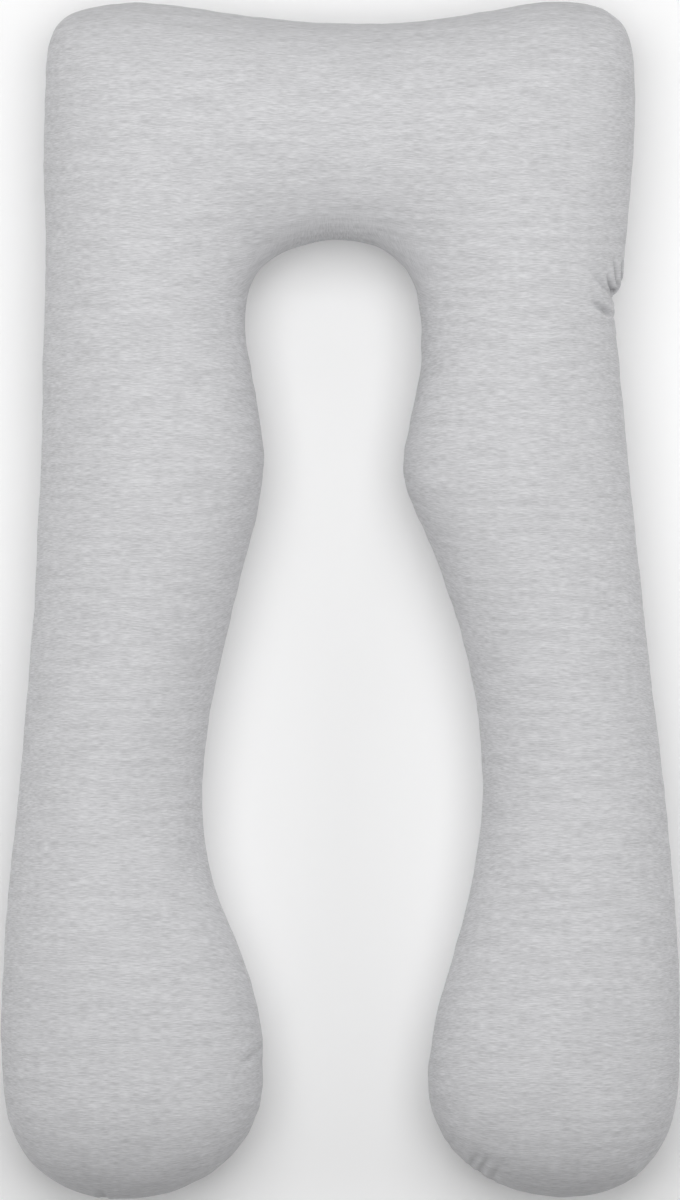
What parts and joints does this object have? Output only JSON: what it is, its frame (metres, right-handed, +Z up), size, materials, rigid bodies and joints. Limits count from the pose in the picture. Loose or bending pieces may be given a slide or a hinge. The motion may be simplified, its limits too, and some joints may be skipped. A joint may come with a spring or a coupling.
{
  "type": "body pillow",
  "caption": "U-shaped full-length body pillow with plump rounded feet, a wide head end and a narrow neck gap, in a heathered jersey cover.",
  "frame": {"origin": "on the resting surface, under the middle of the pillow's bounding box", "axes": "+Y towards the head end, +Z up out of the face, +X to the right when seen from above with the head end at the top"},
  "size_m": [0.85, 1.5001, 0.2054],
  "materials": {
    "heather_jersey": "matte knitted cotton jersey, light heather grey"
  },
  "bodies": {
    "root": {"pillow": "heather_jersey"}
  },
  "joints": []
}
